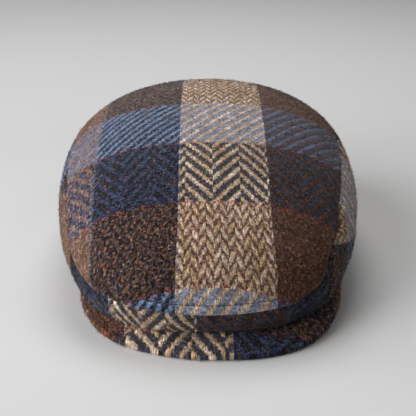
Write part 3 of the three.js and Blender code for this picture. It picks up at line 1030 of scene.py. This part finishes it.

# %% [markdown]
# ## Thread
# The stitches are waxed cotton, twisted from two strands. A wave along the stitch makes a fine
# bump, and the colour is painted darker in its hollows, as painted shade between the strands.

# %% Thread
# The darker thread colour is painted shade in the hollows of the twist.
THREAD_PAINTED_SHADE, THREAD_LIGHT = colour(38, 32, 34), colour(70, 58, 54)
TWIST = 9.0


def thread():
    t = Finish("thread")
    place = t.node("ShaderNodeAttribute", {"attribute_name": CLOTH_PLACE}).out("Vector")
    run = t.node("ShaderNodeSeparateXYZ", {}, place).out("X")
    strand = (run * TWIST).math("SINE") * 0.5 + 0.5
    bump = t.node("ShaderNodeBump", {}, Strength=0.5, Distance=0.0002, Height=strand).out("Normal")
    t.finish(Sheen_Weight=0.2, Sheen_Roughness=0.5, Specular_IOR_Level=0.2)
    # Painted shade: the colour turns darker where the twist's bump is low.
    return t.finish(Base_Color=t.mix(strand, THREAD_PAINTED_SHADE, THREAD_LIGHT), Roughness=0.7, Normal=bump)


front_stitches.data.materials.append(thread())
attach(front_stitches, "root")

# %% [markdown]
# ## Floor, light and camera
# A pale floor that sweeps up all round the cap, painted darker towards the back as painted
# shade, one broad soft light from the left, weak lights low at the left, behind, in front and to
# the right, and a camera in front of the peak, looking down at it.

# %% Floor
FLOOR_RADIUS, SWEEP_RADIUS, SWEEP_TOP, FLOOR_SPOKES = 5.0, 1.5, 4.0, 96
# The floor's back colour is painted shade.
FLOOR_FRONT, FLOOR_BACK_PAINTED_SHADE = colour(200, 200, 200), colour(186, 186, 186)
FLOOR_MIDDLE, FLOOR_INNER = 0.01, 0.6
SHADE_FROM, SHADE_TO = -0.05, 0.22


def make_floor():
    bend = np.linspace(0, math.pi / 2, 16)
    sweep = FLOOR_RADIUS + SWEEP_RADIUS * np.sin(bend)
    reaches = np.concatenate([[FLOOR_MIDDLE, FLOOR_INNER], sweep, [FLOOR_RADIUS + SWEEP_RADIUS]])
    heights = np.concatenate([[0, 0], SWEEP_RADIUS * (1 - np.cos(bend)), [SWEEP_TOP]])
    around = np.linspace(0, 2 * math.pi, FLOOR_SPOKES, endpoint=False)
    points = [(r * math.cos(a), r * math.sin(a), z) for r, z in zip(reaches, heights) for a in around]
    faces = [tuple(range(FLOOR_SPOKES))]
    for ring in range(len(reaches) - 1):
        start = ring * FLOOR_SPOKES
        for spoke in range(FLOOR_SPOKES):
            after = (spoke + 1) % FLOOR_SPOKES
            outward = start + FLOOR_SPOKES
            faces.append((start + spoke, outward + spoke, outward + after, start + after))
    mesh = bpy.data.meshes.new("floor")
    mesh.from_pydata(points, [], faces)
    mesh.shade_smooth()
    floor = bpy.data.objects.new("floor", mesh)
    scene.collection.objects.link(floor)
    f = Finish("floor")
    place = f.node("ShaderNodeSeparateXYZ", {}, f.node("ShaderNodeNewGeometry").out("Position"))
    # Painted shade: the floor turns darker from the front to the back.
    shade = f.mix(place.out("Y").step(SHADE_FROM, SHADE_TO), FLOOR_FRONT, FLOOR_BACK_PAINTED_SHADE)
    mesh.materials.append(f.finish(Base_Color=shade, Roughness=0.8, Specular_IOR_Level=0.1))
    return floor


make_floor()

# %% Light
def soft_light(name, place, size, power, tint=(1.0, 1.0, 1.0)):
    data = bpy.data.lights.new(name, "AREA")
    data.shape = "DISK"
    data.size = size
    data.energy = power
    data.color = tint
    light = bpy.data.objects.new(name, data)
    light.location = place
    light.rotation_euler = (CAP_MIDDLE - Vector(place)).to_track_quat("-Z", "Y").to_euler()
    scene.collection.objects.link(light)


CAP_MIDDLE, ROOM_STRENGTH = Vector((0.0, 0.0, 0.05)), 0.02
soft_light("key", (-3.2, -0.74, 1.85), size=3.8, power=150.0)
soft_light("left_front", (-1.1, -0.7, 0.35), size=0.8, power=6.5)
soft_light("low_left", (-1.3, 0.2, 0.3), size=0.6, power=8.0)
soft_light("behind", (0.0, 0.5, 0.95), size=0.6, power=6.0)
soft_light("front_fill", (-0.9, -1.2, 0.95), size=0.9, power=3.6)
soft_light("right_fill", (1.1, 0.0, 1.2), size=0.9, power=4.2, tint=(1.0, 0.96, 0.92))
world = bpy.data.worlds.new("room")
world.use_nodes = True
background = world.node_tree.nodes["Background"].inputs
background["Color"].default_value = colour(235, 237, 240)
background["Strength"].default_value = ROOM_STRENGTH
scene.world = world
scene.view_settings.view_transform = "Standard"
print("six soft lights and a dim room")

# %% Camera
CAMERA_AIM = np.array([0.0, 17.8, 46.4])
CAMERA_DISTANCE, CAMERA_PITCH, CAMERA_YAW = 582.5, 23.0, 0.38
FOCAL_PIXELS, FRAME_PIXELS, SENSOR = 818.0, 416.0, 36.0
AIM_PIXEL = (207.6, 178.0)


def make_camera():
    pitch, yaw = math.radians(CAMERA_PITCH), math.radians(CAMERA_YAW)
    level = math.cos(pitch)
    ahead = np.array([math.sin(yaw) * level, math.cos(yaw) * level, -math.sin(pitch)])
    right = np.array([math.cos(yaw), -math.sin(yaw), 0.0])
    up = np.cross(right, ahead)
    place = CAMERA_AIM - ahead * CAMERA_DISTANCE
    off_x, off_y = (np.full(2, FRAME_PIXELS / 2) - AIM_PIXEL) / FOCAL_PIXELS
    look = ahead + right * off_x - up * off_y
    data = bpy.data.cameras.new("camera")
    data.sensor_width = SENSOR
    data.lens = SENSOR * FOCAL_PIXELS / FRAME_PIXELS
    data.clip_start = 0.01
    camera = bpy.data.objects.new("camera", data)
    camera.location = Vector(place * MM)
    camera.rotation_euler = Vector(look).to_track_quat("-Z", "Y").to_euler()
    scene.collection.objects.link(camera)
    return camera


scene.camera = make_camera()
print("camera at", [round(v, 3) for v in scene.camera.location])
